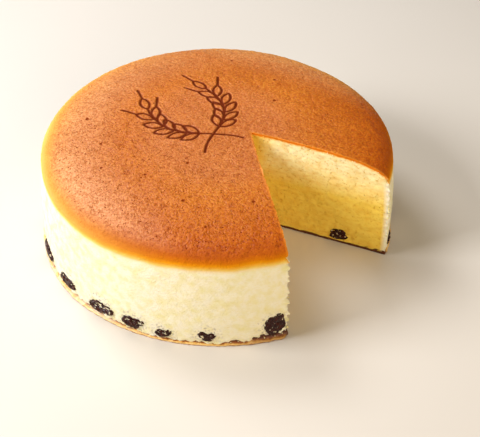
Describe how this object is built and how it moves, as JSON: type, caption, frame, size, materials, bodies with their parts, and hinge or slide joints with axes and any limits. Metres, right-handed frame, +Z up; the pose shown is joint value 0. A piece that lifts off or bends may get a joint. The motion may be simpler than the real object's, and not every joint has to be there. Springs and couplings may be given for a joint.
{
  "type": "souffle cheesecake",
  "caption": "Round souffle cheesecake with a browned, nearly flat top, pale straight sides, raisins round its foot and a wedge cut out.",
  "frame": {"origin": "centre of the round foot, on the surface that the cake stands on", "axes": "+Z up from the foot to the browned top; the missing wedge opens towards +X and -Y"},
  "size_m": [0.1812, 0.1814, 0.0577],
  "materials": {
    "sponge": "soft matt sponge, cream at the side and browned on top",
    "raisin": "dark wrinkled fruit skin, slightly glossy"
  },
  "bodies": {
    "root": {"cheesecake": "sponge", "raisin_01": "raisin", "raisin_02": "raisin", "raisin_03": "raisin", "raisin_04": "raisin", "raisin_05": "raisin", "raisin_06": "raisin", "raisin_07": "raisin", "raisin_08": "raisin", "raisin_09": "raisin", "raisin_10": "raisin", "raisin_11": "raisin", "raisin_12": "raisin", "raisin_13": "raisin", "raisin_14": "raisin", "raisin_15": "raisin", "raisin_16": "raisin", "raisin_17": "raisin", "raisin_18": "raisin", "raisin_19": "raisin", "raisin_20": "raisin", "raisin_21": "raisin"}
  },
  "joints": []
}
